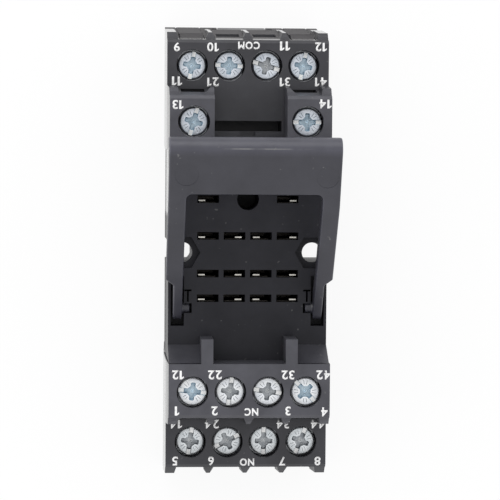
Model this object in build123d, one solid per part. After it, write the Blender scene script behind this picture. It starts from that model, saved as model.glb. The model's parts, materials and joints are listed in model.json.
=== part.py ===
from build123d import *
import os
from math import cos, radians, sin, tan

# Screw-terminal socket for a relay with fourteen flat blades.
# Millimetres. +X runs across the socket, +Y towards the common and coil terminals,
# +Z out of the relay face. The origin is the middle of the back.

# Terminal grid
screw_pitch = 6.19  # between screw columns
high_row_y = 22.1  # upper-tier screws from the middle
row_step = 9.32  # upper-tier row to lower-tier row
face_margin = 4.18  # screw row to the outer edge of its face
back_margin = 4.65  # upper-tier row to the edge beside the relay
side_margin = 1.05  # screw grid to the side wall

# Heights
seam_z = 8.0  # back to the joint of rear cover and housing
low_height = 12.0  # seam to the lower terminal faces
tier_step = 8.0  # lower to upper terminal faces
relay_height = 13.7  # seam to the relay face
side_draft = 0.2  # upper tiers narrow by this on each side

# Relay blades
blade_pitch = 4.4  # between blade columns
blade_rows = {"normally_closed": -7.15, "normally_open": -3.05, "common": 3.2, "coil": 9.3}
slot_length = 3.6
slot_width = 1.27
face_thickness = 1.6  # relay face over the contact pockets
key_hole_r = 1.83
key_hole_depth = 9.0

# Ends, ribs and wire entries
end_draft = 0.15  # end walls lean out by this for each millimetre down
edge_chamfer = 0.45
entry_width = 3.9
entry_dip = {"high": 3.4, "low": 2.0}  # floor of an entry below the terminal plate
entry_rise = 1.9
rib_root = 1.9  # width of a rib at its face
rib_tip = 0.6  # width of a rib at its shoulder
side_rib_tip = 1.55
rib_reach = 1.35  # shoulder past the face edge
rib_drop = 0.5  # rib below its face, at the wall
rib_fall = 2.4  # rib below its face, at the shoulder
rib_draft = 0.085  # end of a rib leans out by this for each millimetre down
panel_width = 3.9  # grooved panels of the outer common terminals
groove_width = 0.2
groove_sink = 0.3
eave_reach = 1.25  # past the face edge
eave_drop = 1.0  # eave of a panel below its face, at the wall
eave_fall = 4.6  # eave of a panel below its face, at its lip
coil_gap = 11.9  # between the two coil blocks

# Relay bay
buttress_inner = 5.95
buttress_width = 1.95
buttress_length = 4.05
ramp_length = 2.6
ramp_height = 4.9
bay_wall = 0.8  # low wall between the coil blocks
bay_pocket_width = 11.2
bay_pocket_length = 1.7
bay_pocket_depth = 7.0
bay_pocket_y = 20.55
bay_notch_width = 2.5
bay_notch_depth = 1.2
bay_inset = 0.25  # side walls of the bay, from those of the terminals

# Terminal screw, clamp plate and terminal plate
well_r = 2.62
head_drop = 1.3  # terminal face to the top of the head
head_r = 2.4
head_height = 1.9
shank_r = 1.5
thread_fit = 0.06  # radial, screw in its plates
hole_sides = 8  # of the holes in those plates
seat_gap = 0.05  # head over its clamp plate
clamp_width = 4.5
clamp_length = 5.2
clamp_thickness = 0.8
clamp_bevel = 0.4
wire_gap = 2.5  # clamp plate to terminal plate, open
clamp_rest = 0.2  # gap left when the screw is down
plate_thickness = 1.0
plate_half_length = 3.0
thread_past = 1.4  # screw tip past the terminal plate
tip_clear = 0.8
chamber_clear = 0.2
roof_clear = 0.1
drive_slot_width = 0.85
drive_slot_depth = 0.65
drive_cross_length = 3.1
drive_cross_depth = 1.25
slot_angles = {
    1: -7, 2: 82, 3: -8, 4: -46, 5: 82, 6: 27, 7: 89,
    8: 68, 9: 80, 10: -3, 11: -17, 12: 78, 13: 75, 14: 0,
}

# Contact strips
strip_thickness = 0.6
leg_width = 3.0
leg_thickness = 0.8
run_width = 1.7
run_gap = 0.6  # lower runs over the seam
run_separation = 1.8  # between the lower and upper runs
channel_clear = 0.3
fork_width = 2.8
leaf_thickness = 0.4
fork_half = 1.0  # half of the fork's depth at its foot
fork_pinch = 0.25  # half of the gap where the leaves grip
fork_clear = 1.6
finger_width = 1.1
finger_thickness = 0.22
finger_y = -0.27  # middle of the finger from the middle of its slot
finger_drop = 1.2  # finger below the relay face
finger_offset = {"outer": 1.0, "inner": -0.7}
pocket_half_y = 1.35

# Mounting holes
mount_x = 10.8
mount_y = 0.42
mount_r = 1.65
mount_base_z = 12.0  # the bore is wider below this
mount_slot_width = 3.44  # slot behind the bore, open at the side
mount_slot_inner = 1.85  # slot from the middle of the hole towards that of the socket
hex_corner_r = 2.95
hex_depth = 1.6
notch_drop = 3.0  # top of the side notch below the relay face

# Retaining clip
pivot_y = -8.8
pivot_drop = 1.2  # pivot axis below the relay face
pin_r = 1.0
pin_length = 1.3
pin_fit = 0.06
pin_lead = 0.8  # half width of the snap-in notch over a pin
clip_lean = 39.5  # degrees from the relay face to the arms
clip_bend = 15.0  # degrees from the arms down to the bridge
clip_knee = 23.6  # pivot to the bend
clip_window = 2.25  # bend to the window's edge
clip_flat = 9.25  # bend to the rounded edge
clip_overhang = 0.27  # arms past the side walls
clip_arm_width = 2.8
clip_low = -0.8  # underside of the arms above the pivot line
clip_thickness = 2.3
clip_boss_r = 1.9
clip_taper = 7.0
clip_hook_depth = 3.0
clip_hook_thickness = 1.8
clip_edge_r = 2.0
clip_window_r = 1.0
clip_foot_width = 1.5
clip_foot_length = 6.4
clip_clear = 0.35
pocket_back = 2.95  # clip pocket from the pivot towards the normally closed tier
pocket_front = 5.4  # clip pocket from the pivot towards the coil tier
slit_width = 0.3
slit_length = 1.75
slit_bar = 1.2
slit_depth = 3.0

# Rear cover and rail latch
cover_inset = 0.2
rail_width = 35.0
rail_clear = 0.25
groove_depth = 5.0
flange_slot = 1.4
hook_reach = 1.6
hook_height = 2.0
hook_slope = 1.3
latch_width = 8.2
latch_flange = 1.0
latch_web = 1.7
latch_flange_height = 1.2
latch_clear = 0.15
latch_nose = 1.5
latch_nose_slope = 1.2
latch_window_width = 4.6
latch_window_start = 6.5
latch_post_start = 14.2
latch_post_length = 1.4
latch_grip_width = 4.4
latch_grip_length = 0.9
latch_grip_wall = 0.9
spring_thickness = 0.3
spring_width = 1.6
spring_sway = 1.7
spring_folds = 6
spring_gap = 0.1

# Worked out from the sizes above
low_row_y = high_row_y + row_step
low_edge_y = low_row_y + face_margin
high_edge_y = high_row_y + face_margin
high_back_y = high_row_y - back_margin
half_width = 2 * screw_pitch + side_margin
low_top = seam_z + low_height
high_top = low_top + tier_step
relay_z = seam_z + relay_height
low_foot_y = low_edge_y + end_draft * low_height
high_foot_y = high_edge_y + end_draft * tier_step
base_y = low_edge_y + end_draft * low_top
well_floor = head_drop + head_height + seat_gap + clamp_thickness + wire_gap
clamp_travel = wire_gap - clamp_rest
chamber_half = clamp_width / 2 + chamber_clear
columns = [(i - 1.5) * screw_pitch for i in range(4)]
blade_columns = [(i - 1.5) * blade_pitch for i in range(4)]
low_run_z = seam_z + run_gap
high_run_z = low_run_z + strip_thickness + run_separation
pivot_z = relay_z - pivot_drop
arm_outer = half_width + clip_overhang
arm_inner = arm_outer - clip_arm_width
groove_half = rail_width / 2 + rail_clear
coil_inner = coil_gap / 2

os.makedirs("parts", exist_ok=True)


def block(x0, x1, y0, y1, z0, z1):
    size = Box(abs(x1 - x0), abs(y1 - y0), abs(z1 - z0))
    return Pos((x0 + x1) / 2, (y0 + y1) / 2, (z0 + z1) / 2) * size


def side_face(points):
    return Plane.YZ * make_face(Polyline(*points, close=True))


def across(points, x0, x1):
    return Pos(x0, 0, 0) * extrude(side_face(points), amount=x1 - x0)


# One entry for each terminal: which tier, which end, and the two columns it joins
def terminal(number, row, column, end):
    high = row in ("normally_closed", "coil")
    return {
        "number": number,
        "end": end,
        "tier": "high" if high else "low",
        "top": high_top if high else low_top,
        "x": columns[column],
        "y": end * (high_row_y if high else low_row_y),
        "foot": end * (high_foot_y if high else low_foot_y),
        "blade_x": blade_columns[column],
        "blade_y": blade_rows[row],
        "run_z": high_run_z if high else low_run_z,
        "outer": column in (0, 3),
    }


terminals = (
    [terminal(1 + i, "normally_closed", i, -1) for i in range(4)]
    + [terminal(5 + i, "normally_open", i, -1) for i in range(4)]
    + [terminal(9 + i, "common", i, 1) for i in range(4)]
    + [terminal(13, "coil", 0, 1), terminal(14, "coil", 3, 1)]
)


# The strip that runs from a terminal's leg to its blade, seen from above
def run_outline(t, grow):
    half = run_width / 2 + grow
    leg_y = t["y"] - t["end"] * (plate_half_length - leg_thickness - grow)
    end_y = t["blade_y"] - t["end"] * (fork_half + grow)
    return make_face(Polyline(
        (t["x"] - half, leg_y),
        (t["x"] + half, leg_y),
        (t["blade_x"] + half, end_y),
        (t["blade_x"] - half, end_y),
        close=True,
    ))


# Hollow of one terminal: well, clamp chamber with its wire entry, and the contact's channels
def terminal_hollow(t):
    top, end = t["top"], t["end"]
    floor = top - well_floor - plate_thickness
    roof = top - head_drop - head_height + roof_clear
    inner_y = t["y"] - end * (plate_half_length + channel_clear)
    outer_y = t["y"] + end * (plate_half_length + channel_clear)
    well = Pos(t["x"], t["y"], (top + roof) / 2) * Cylinder(well_r, top - roof)
    chamber = block(
        t["x"] - chamber_half, t["x"] + chamber_half, inner_y, outer_y, floor, roof
    )
    plate_top = top - well_floor
    mouth_y = t["foot"] if t["tier"] == "high" else t["foot"] + end
    entry = block(
        t["x"] - entry_width / 2, t["x"] + entry_width / 2, outer_y, mouth_y,
        plate_top - entry_dip[t["tier"]], plate_top + entry_rise,
    )
    tip_half = shank_r + channel_clear
    tip_floor = floor - thread_past - clamp_travel - tip_clear
    tip_well = block(
        t["x"] - tip_half, t["x"] + tip_half, t["y"] - tip_half, t["y"] + tip_half, tip_floor, floor
    )
    leg_half = leg_width / 2 + channel_clear
    leg_y = t["y"] - end * (plate_half_length - leg_thickness - channel_clear)
    leg = block(t["x"] - leg_half, t["x"] + leg_half, inner_y, leg_y, seam_z, floor)
    run_top = t["run_z"] + strip_thickness + channel_clear
    run = Pos(0, 0, seam_z) * extrude(run_outline(t, channel_clear), amount=run_top - seam_z)
    slot_half = slot_length / 2
    pocket = block(
        t["blade_x"] - slot_half, t["blade_x"] + slot_half,
        t["blade_y"] - pocket_half_y, t["blade_y"] + pocket_half_y,
        seam_z, relay_z - face_thickness,
    )
    slot = block(
        t["blade_x"] - slot_half, t["blade_x"] + slot_half,
        t["blade_y"] - slot_width / 2, t["blade_y"] + slot_width / 2,
        relay_z - face_thickness, relay_z,
    )
    return [well, chamber, entry, tip_well, leg, run, pocket, slot]


# Spans across the socket of the ribs of one tier, at their roots and at their tips
def rib_spans(middles, inner_x):
    spans = []
    for x in middles:
        spans.append((x - rib_root / 2, x + rib_root / 2, x - rib_tip / 2, x + rib_tip / 2))
    for side in (-1, 1):
        wall = side * half_width
        spans.append((wall, wall - side * rib_root, wall, wall - side * side_rib_tip))
        if inner_x:
            wall = side * inner_x
            spans.append((wall, wall + side * rib_root, wall, wall + side * rib_tip))
    return spans


# Wedge ribs that part the wires at the outer end of a tier
def end_ribs(spans, end, edge_y, top, foot_z):
    shoulder_y = edge_y + rib_reach
    wall_y = edge_y - edge_chamfer
    foot_y = shoulder_y + rib_draft * (top - rib_fall - foot_z)
    outline = [
        (end * wall_y, foot_z), (end * foot_y, foot_z), (end * shoulder_y, top - rib_fall),
        (end * wall_y, top - rib_drop),
    ]
    ribs = []
    for root_0, root_1, tip_0, tip_1 in spans:
        plan = make_face(Polyline(
            (root_0, end * wall_y), (root_1, end * wall_y), (root_1, end * edge_y),
            (tip_1, end * shoulder_y), (tip_1, end * foot_y), (tip_0, end * foot_y),
            (tip_0, end * shoulder_y), (root_0, end * edge_y), close=True,
        ))
        wedge = across(outline, min(root_0, root_1), max(root_0, root_1))
        ribs.append(wedge & Pos(0, 0, foot_z) * extrude(plan, amount=top - foot_z))
    return ribs


# Thin grooves down the common end on both sides of the outer terminals' panels
def panel_grooves(z0, z1):
    inner_0 = low_edge_y + end_draft * (low_top - z0) - groove_sink
    inner_1 = low_edge_y + end_draft * (low_top - z1) - groove_sink
    outline = [(inner_0, z0), (base_y + 1, z0), (base_y + 1, z1), (inner_1, z1)]
    grooves = []
    for column in (columns[0], columns[3]):
        for side in (-1, 1):
            x = column + side * (panel_width + groove_width) / 2
            grooves.append(across(outline, x - groove_width / 2, x + groove_width / 2))
    return grooves


# Stepped moulding, cut by its terminals, blade slots, holes and clip pockets
def make_housing():
    edge_lean = end_draft * edge_chamfer
    half_profile = [
        (low_foot_y, seam_z), (low_edge_y + edge_lean, low_top - edge_chamfer),
        (low_edge_y - edge_chamfer, low_top), (high_foot_y, low_top),
        (high_edge_y + edge_lean, high_top - edge_chamfer), (high_edge_y - edge_chamfer, high_top),
        (high_back_y, high_top), (high_back_y, relay_z),
    ]
    profile = half_profile + [(-y, z) for y, z in reversed(half_profile)]
    body = across(profile, -half_width, half_width)
    body -= block(-coil_inner, coil_inner, high_back_y, high_foot_y, low_top, high_top)

    for side in (-1, 1):
        inner = side * buttress_inner
        outer = side * (buttress_inner + buttress_width)
        body += block(inner, outer, -high_back_y, buttress_length - high_back_y, relay_z, high_top)
        ramp = [
            (-high_back_y, relay_z), (ramp_length - high_back_y, relay_z),
            (-high_back_y, relay_z + ramp_height),
        ]
        x0, x1 = sorted((outer, side * half_width))
        body += across(ramp, x0, x1)

    between = [-screw_pitch, 0, screw_pitch]
    for end in (-1, 1):
        high_spans = rib_spans(between, None) if end < 0 else rib_spans([], coil_inner)
        body += end_ribs(rib_spans(between, None), end, low_edge_y, low_top, seam_z)
        body += end_ribs(high_spans, end, high_edge_y, high_top, low_top)
    eave = [
        (low_edge_y - edge_chamfer, low_top - eave_drop),
        (low_edge_y + eave_reach, low_top - eave_fall),
        (low_edge_y - edge_chamfer, low_top - eave_fall),
    ]
    for x in (columns[0], columns[3]):
        body += across(eave, x - panel_width / 2, x + panel_width / 2)

    drafted = Plane.XZ * make_face(Polyline(
        (-half_width, seam_z), (half_width, seam_z), (half_width, low_top),
        (half_width - side_draft, high_top), (side_draft - half_width, high_top),
        (-half_width, low_top), close=True,
    ))
    body &= extrude(drafted, amount=base_y, both=True)

    hollows = []
    for t in terminals:
        hollows += terminal_hollow(t)
    key_hole = Pos(0, blade_rows["coil"], relay_z - key_hole_depth / 2)
    hollows.append(key_hole * Cylinder(key_hole_r, key_hole_depth))
    pocket_half = bay_pocket_width / 2
    hollows.append(block(
        -pocket_half, pocket_half, bay_pocket_y, bay_pocket_y + bay_pocket_length,
        low_top - bay_pocket_depth, low_top,
    ))
    hollows.append(block(
        -bay_notch_width / 2, bay_notch_width / 2, bay_pocket_y - bay_wall, bay_pocket_y,
        low_top - bay_notch_depth, low_top,
    ))
    for side in (-1, 1):
        hollows += side_hollows(side)
        hollows.append(block(
            side * (half_width - bay_inset), side * (half_width + 1), -high_back_y, high_back_y,
            seam_z, high_top,
        ))
    hollows += panel_grooves(seam_z, low_top - eave_drop)
    return body - hollows


# Slot behind a mounting hole
def mount_slot(side, z0, z1):
    return block(
        side * (mount_x - mount_slot_inner), side * half_width, mount_y - mount_slot_width / 2,
        mount_y + mount_slot_width / 2, z0, z1,
    )



# Mounting sleeve and clip pocket on one side of the relay face
def side_hollows(side):
    x = side * mount_x
    edge = side * half_width
    slot = mount_slot(side, seam_z, mount_base_z)
    bore_height = relay_z - mount_base_z
    bore = Pos(x, mount_y, mount_base_z + bore_height / 2) * Cylinder(mount_r, bore_height)
    hexagon = Pos(x, mount_y, relay_z - hex_depth) * extrude(
        RegularPolygon(hex_corner_r, 6), amount=hex_depth
    )
    notch = block(
        x, edge, mount_y - mount_slot_width / 2, mount_y + mount_slot_width / 2,
        mount_base_z, relay_z - notch_drop,
    )
    pocket_inner = side * (arm_inner - clip_clear)
    pocket_outer = side * (arm_inner + clip_foot_width + clip_clear)
    reach = clip_boss_r + clip_clear
    pocket = block(
        pocket_inner, pocket_outer, pivot_y - pocket_back, pivot_y + pocket_front,
        pivot_z - reach, relay_z,
    )
    hole_end = side * (arm_inner - pin_length - clip_clear)
    hole = Pos((pocket_inner + hole_end) / 2, pivot_y, pivot_z) * Rot(0, 90, 0) * Cylinder(
        pin_r + pin_fit, abs(pocket_inner - hole_end)
    )
    lead = block(pocket_inner, hole_end, pivot_y - pin_lead, pivot_y + pin_lead, pivot_z, relay_z)
    slit_x = (pocket_inner + hole_end) / 2
    slit_y = pivot_y + pin_r + pin_fit
    slit = block(
        slit_x - slit_width / 2, slit_x + slit_width / 2, slit_y, slit_y + slit_length,
        relay_z - slit_depth, relay_z,
    )
    bar = block(
        slit_x - slit_bar / 2, slit_x + slit_bar / 2, slit_y + slit_length,
        slit_y + slit_length + slit_width, relay_z - slit_depth, relay_z,
    )
    return [slot, bore, hexagon, notch, pocket, hole, lead, slit, bar]


# Cover behind the contacts, with the rail groove, its fixed hook and the latch's way
def make_rear_cover():
    foot_y = low_foot_y - cover_inset
    end_y = base_y - cover_inset
    half = half_width - cover_inset
    hook_top = groove_depth - flange_slot
    profile = [
        (-end_y, 0), (-groove_half, 0), (-groove_half, hook_top - hook_height),
        (hook_reach - groove_half, hook_top - hook_height + hook_slope),
        (hook_reach - groove_half, hook_top), (-groove_half, hook_top),
        (-groove_half, groove_depth), (groove_half, groove_depth), (groove_half, 0),
        (end_y, 0), (foot_y, seam_z), (-foot_y, seam_z),
    ]
    cover = across(profile, -half, half)
    outer = block(-half, half, -end_y, end_y, 0, seam_z)
    spans = rib_spans([-screw_pitch, 0, screw_pitch], None)
    for end in (-1, 1):
        ribs = end_ribs(spans, end, low_edge_y - cover_inset, low_top, 0)
        cover += [rib & outer for rib in ribs]
    web = latch_width / 2 + latch_clear
    flange = web + latch_flange
    split = latch_web
    roof = latch_web + latch_flange_height + 2 * latch_clear
    cover -= block(-web, web, groove_half, end_y, 0, split)
    cover -= block(-flange, flange, groove_half, end_y, split, roof)
    post_half = latch_window_width / 2 - latch_clear
    post_y = groove_half + latch_post_start
    cover += block(-post_half, post_half, post_y, post_y + latch_post_length, latch_clear, roof)
    for side in (-1, 1):
        cover -= mount_slot(side, groove_depth, seam_z)
    return cover - panel_grooves(0, seam_z)


# Sprung slider: a flanged bar with a hooked nose, a spring window and a pull slot
def make_rail_latch():
    low = latch_clear
    split = latch_web + latch_clear
    top = latch_web + latch_clear + latch_flange_height
    end_y = base_y - cover_inset - end_draft * top
    nose_y = groove_half - latch_nose
    web = [
        (groove_half + latch_clear, low), (end_y + end_draft * (top - low), low), (end_y, top),
        (nose_y, top),
        (nose_y, split + latch_clear), (groove_half + latch_clear, low + latch_nose_slope / 2),
    ]
    latch = across(web, -latch_width / 2, latch_width / 2)
    flange = latch_width / 2 + latch_flange
    latch += block(-flange, flange, groove_half + latch_clear, end_y, split, top)
    window = latch_window_width / 2
    window_y = groove_half + latch_window_start
    window_end = groove_half + latch_post_start + latch_post_length + latch_clear
    latch -= block(-window, window, window_y, window_end, low, top)
    grip_y = end_y - latch_grip_wall - latch_grip_length
    latch -= block(
        -latch_grip_width / 2, latch_grip_width / 2, grip_y, grip_y + latch_grip_length, low, top
    )
    return latch


# Folded strip spring between the latch's window and the cover's post
def make_latch_spring():
    start = groove_half + latch_window_start + spring_gap
    stop = groove_half + latch_post_start - spring_gap
    step = (stop - start - spring_thickness) / spring_folds
    first = start + spring_thickness / 2
    bends = [
        (spring_sway * (-1) ** i, first + i * step) for i in range(1, spring_folds)
    ]
    last = (spring_sway * (-1) ** spring_folds, stop - spring_thickness / 2)
    line = Polyline((spring_sway, first), *bends, last)
    base_z = latch_clear + (latch_web + latch_flange_height - spring_width) / 2
    return Pos(0, 0, base_z) * extrude(trace(line, line_width=spring_thickness), amount=spring_width)


# Bail that leans over the relay, drawn along its arms and then swung up on its pivot
def make_retaining_clip():
    top = clip_low + clip_thickness
    bend = radians(clip_bend)
    turn = radians(90 + clip_lean - clip_bend)

    def folded(reach, height):
        return (
            clip_knee + reach * cos(bend) + height * sin(bend),
            top - reach * sin(bend) + height * cos(bend),
        )

    def rounded(angle):
        return folded(clip_flat + clip_edge_r * sin(angle), clip_edge_r * (cos(angle) - 1))

    hook_x = clip_flat + clip_edge_r * sin(turn) + clip_hook_depth * cos(turn)
    hook_z = clip_edge_r * (cos(turn) - 1) - clip_hook_depth * sin(turn)
    inner_x = hook_x - clip_hook_thickness * sin(turn)
    inner_z = hook_z - clip_hook_thickness * cos(turn)
    corner_x = inner_x + (clip_thickness + inner_z) / tan(turn)
    under_knee = (clip_knee - clip_thickness * tan(bend / 2), clip_low)
    profile = make_face([
        Polyline(
            rounded(turn), folded(hook_x, hook_z), folded(inner_x, inner_z),
            folded(corner_x, -clip_thickness), under_knee, (clip_taper, clip_low), (0, -clip_boss_r),
            (0, clip_boss_r), (clip_taper, top), (clip_knee, top), rounded(0),
        ),
        ThreePointArc(rounded(0), rounded(turn / 2), rounded(turn)),
    ])
    clip = extrude(Plane.YZ * (profile + Circle(clip_boss_r)), amount=arm_outer, both=True)
    window_y = folded(clip_window, 0)[0]
    opening = make_face(Polyline(
        (-arm_inner, -2 * clip_boss_r), (arm_inner, -2 * clip_boss_r), (arm_inner, window_y),
        (-arm_inner, window_y), close=True,
    ))
    opening = fillet(opening.vertices().group_by(Axis.Y)[-1], clip_window_r)
    clip -= extrude(opening, amount=clip_knee, both=True)
    foot_x = arm_inner + clip_foot_width
    shoulder = clip_foot_length + arm_outer - foot_x
    for side in (-1, 1):
        relief = make_face(Polyline(
            (side * foot_x, -2 * clip_boss_r), (side * (arm_outer + 1), -2 * clip_boss_r),
            (side * (arm_outer + 1), shoulder + 1), (side * foot_x, clip_foot_length), close=True,
        ))
        clip -= extrude(relief, amount=clip_knee, both=True)
        clip += Pos(side * (arm_inner - pin_length / 2), 0, 0) * Rot(0, 90, 0) * Cylinder(
            pin_r, pin_length
        )
    return Pos(0, pivot_y, pivot_z) * Rot(clip_lean, 0, 0) * clip


# Flat-sided hole that a screw's shank passes through in its plates
def screw_hole(t, z0, z1):
    outline = RegularPolygon(shank_r + thread_fit, hole_sides, major_radius=False)
    return Pos(t["x"], t["y"], z0) * extrude(outline, amount=z1 - z0)


# Stamped strip: pierced terminal plate, leg, run and the sprung fork for one blade
def make_contact(t):
    end = t["end"]
    plate_top = t["top"] - well_floor
    floor = plate_top - plate_thickness
    inner_y = t["y"] - end * plate_half_length
    half = clamp_width / 2
    plate = block(
        t["x"] - half, t["x"] + half, inner_y, t["y"] + end * plate_half_length, floor, plate_top
    )
    plate -= screw_hole(t, floor, plate_top)
    leg_y = inner_y + end * leg_thickness
    leg = block(
        t["x"] - leg_width / 2, t["x"] + leg_width / 2, inner_y, leg_y, t["run_z"], floor
    )
    run = Pos(0, 0, t["run_z"]) * extrude(run_outline(t, 0), amount=strip_thickness)
    foot_z = t["run_z"] + strip_thickness
    tip_z = relay_z - face_thickness - fork_clear
    grip_z = tip_z - (tip_z - foot_z) / 4
    fork = None
    for side in (-1, 1):
        leaf = across(
            [
                (side * (fork_half - leaf_thickness), foot_z), (side * fork_half, foot_z),
                (side * (fork_pinch + leaf_thickness), grip_z), (side * fork_half, tip_z),
                (side * (fork_half - leaf_thickness), tip_z), (side * fork_pinch, grip_z),
            ],
            -fork_width / 2, fork_width / 2,
        )
        fork = leaf if fork is None else fork + leaf
    fork += block(
        -fork_width / 2, fork_width / 2, -fork_half, fork_half, t["run_z"], foot_z
    )
    offset = finger_offset["outer" if t["outer"] else "inner"] * (1 if t["x"] > 0 else -1)
    finger = block(
        offset - finger_width / 2, offset + finger_width / 2, finger_y - finger_thickness / 2,
        finger_y + finger_thickness / 2, grip_z, relay_z - finger_drop,
    )
    fork = Pos(t["blade_x"], t["blade_y"], 0) * (fork + finger)
    return plate + leg + run + fork


# Pressure plate that the screw draws down on the wire, with a bevelled leading edge
def make_clamp_plate(t):
    top = t["top"] - head_drop - head_height - seat_gap
    bottom = top - clamp_thickness
    half = clamp_length / 2
    outline = [
        (-half, bottom), (half - clamp_bevel, bottom), (half, bottom + clamp_bevel), (half, top),
        (-half, top),
    ]
    placed = [(t["y"] + t["end"] * reach, z) for reach, z in outline]
    plate = across(placed, t["x"] - clamp_width / 2, t["x"] + clamp_width / 2)
    return plate - screw_hole(t, bottom, top)


# Turned screw with a slot through its rim and a deeper cross in the middle
def make_terminal_screw(t):
    head_top = t["top"] - head_drop
    seat = head_top - head_height
    tip = t["top"] - well_floor - plate_thickness - thread_past
    outline = [
        (0, tip), (shank_r, tip), (shank_r, seat), (head_r, seat), (head_r, head_top), (0, head_top),
    ]
    turned = revolve(Plane.XZ * make_face(Polyline(*outline, close=True)), Axis.Z)
    half = drive_slot_width / 2
    cross = drive_cross_length / 2
    turned -= block(-head_r, head_r, -half, half, head_top - drive_slot_depth, head_top)
    turned -= block(-cross, cross, -half, half, head_top - drive_cross_depth, head_top)
    turned -= block(-half, half, -cross, cross, head_top - drive_cross_depth, head_top)
    return Pos(t["x"], t["y"], 0) * Rot(0, 0, slot_angles[t["number"]]) * turned


nodes = {
    "housing": make_housing(),
    "rear_cover": make_rear_cover(),
    "rail_latch": make_rail_latch(),
    "latch_spring": make_latch_spring(),
    "retaining_clip": make_retaining_clip(),
}
for t in terminals:
    nodes[f"contact_{t['number']}"] = make_contact(t)
    nodes[f"clamp_plate_{t['number']}"] = make_clamp_plate(t)
    nodes[f"terminal_screw_{t['number']}"] = make_terminal_screw(t)
for name, solid in nodes.items():
    export_step(solid, f"parts/{name}.step")
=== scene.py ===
import json
import math
import bpy
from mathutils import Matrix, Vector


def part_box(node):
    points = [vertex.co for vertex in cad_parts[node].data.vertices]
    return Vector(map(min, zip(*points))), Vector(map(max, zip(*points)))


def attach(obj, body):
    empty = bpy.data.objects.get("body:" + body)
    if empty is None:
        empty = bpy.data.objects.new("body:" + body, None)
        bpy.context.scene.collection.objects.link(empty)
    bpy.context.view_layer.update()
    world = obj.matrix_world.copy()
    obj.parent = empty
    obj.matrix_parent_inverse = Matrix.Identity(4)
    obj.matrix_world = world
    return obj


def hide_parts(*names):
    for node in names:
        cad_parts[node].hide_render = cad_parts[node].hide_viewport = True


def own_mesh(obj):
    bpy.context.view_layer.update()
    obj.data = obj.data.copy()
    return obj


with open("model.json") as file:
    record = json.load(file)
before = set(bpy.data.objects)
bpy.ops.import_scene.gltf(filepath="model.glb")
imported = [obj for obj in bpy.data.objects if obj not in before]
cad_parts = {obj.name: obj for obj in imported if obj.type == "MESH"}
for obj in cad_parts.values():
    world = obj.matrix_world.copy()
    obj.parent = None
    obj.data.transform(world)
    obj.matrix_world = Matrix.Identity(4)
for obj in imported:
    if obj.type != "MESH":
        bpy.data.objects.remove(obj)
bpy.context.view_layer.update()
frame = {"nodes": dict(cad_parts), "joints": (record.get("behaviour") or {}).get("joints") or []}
scene = bpy.context.scene
mm = 0.001
terminalNumbers = range(1, 15)


def clearSelection():
    bpy.ops.object.select_all(action="DESELECT")


def onlySelect(piece):
    clearSelection()
    piece.select_set(True)
    bpy.context.view_layer.objects.active = piece


def enterEdit():
    bpy.ops.object.mode_set(mode="EDIT")


def leaveEdit():
    bpy.ops.object.mode_set(mode="OBJECT")


def bakePlace():
    bpy.ops.object.transform_apply(location=True, rotation=True, scale=True)


def applyModifier(piece, kind, **settings):
    onlySelect(piece)
    modifier = piece.modifiers.new(kind.lower(), kind)
    for key, value in settings.items():
        setattr(modifier, key, value)
    bpy.ops.object.modifier_apply(modifier=modifier.name)


def cutAway(piece, cutter):
    applyModifier(piece, "BOOLEAN", operation="DIFFERENCE", object=cutter, solver="EXACT")
    bpy.data.objects.remove(cutter)


def joinOn(piece, other):
    applyModifier(piece, "BOOLEAN", operation="UNION", object=other, solver="EXACT")
    bpy.data.objects.remove(other)


def settle(piece, location=(0, 0, 0), turn=(0, 0, 0)):
    piece.location = location
    piece.rotation_euler = turn
    onlySelect(piece)
    bakePlace()


def clearPick(piece, kind):
    onlySelect(piece)
    enterEdit()
    bpy.ops.mesh.select_mode(type=kind)
    bpy.ops.mesh.select_all(action="DESELECT")
    leaveEdit()


def pickFaces(piece, test):
    clearPick(piece, "FACE")
    for face in piece.data.polygons:
        face.select = test(face.normal)
    enterEdit()


def pickEdges(piece, test):
    clearPick(piece, "EDGE")
    points = piece.data.vertices
    for edge in piece.data.edges:
        first, second = (points[i].co for i in edge.vertices)
        edge.select = test(first, second)
    enterEdit()


def easePicked(piece, width, segments, test):
    pickEdges(piece, test)
    bpy.ops.mesh.bevel(offset=width * mm, segments=segments, affect="EDGES")
    leaveEdit()


def boxPiece(name, size, centre=(0, 0, 0)):
    clearSelection()
    bpy.ops.mesh.primitive_cube_add(size=1, location=centre)
    piece = bpy.context.object
    piece.name = name
    piece.scale = size
    bakePlace()
    return piece


def roundPiece(name, radius, low, high, sides):
    clearSelection()
    bpy.ops.mesh.primitive_cylinder_add(
        vertices=sides, radius=radius, depth=high - low, location=(0, 0, (low + high) / 2)
    )
    piece = bpy.context.object
    piece.name = name
    bakePlace()
    return piece


def copyPiece(template, name):
    piece = bpy.data.objects.new(name, template.data.copy())
    scene.collection.objects.link(piece)
    return piece


def smoothen(piece, degrees):
    onlySelect(piece)
    bpy.ops.object.shade_smooth_by_angle(angle=math.radians(degrees))


# Materials

def freshMaterial(name):
    material = bpy.data.materials.new(name)
    material.use_nodes = True
    tree = material.node_tree
    return material, tree, tree.nodes["Principled BSDF"]


def addNode(tree, kind, **settings):
    node = tree.nodes.new(kind)
    for key, value in settings.items():
        setattr(node, key, value)
    return node


def objectPlace(tree):
    return addNode(tree, "ShaderNodeTexCoord").outputs["Object"]


def noiseField(tree, place, scale, detail, roughness):
    noise = addNode(tree, "ShaderNodeTexNoise")
    noise.inputs["Scale"].default_value = scale
    noise.inputs["Detail"].default_value = detail
    noise.inputs["Roughness"].default_value = roughness
    tree.links.new(place, noise.inputs["Vector"])
    return noise.outputs["Fac"]


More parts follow.
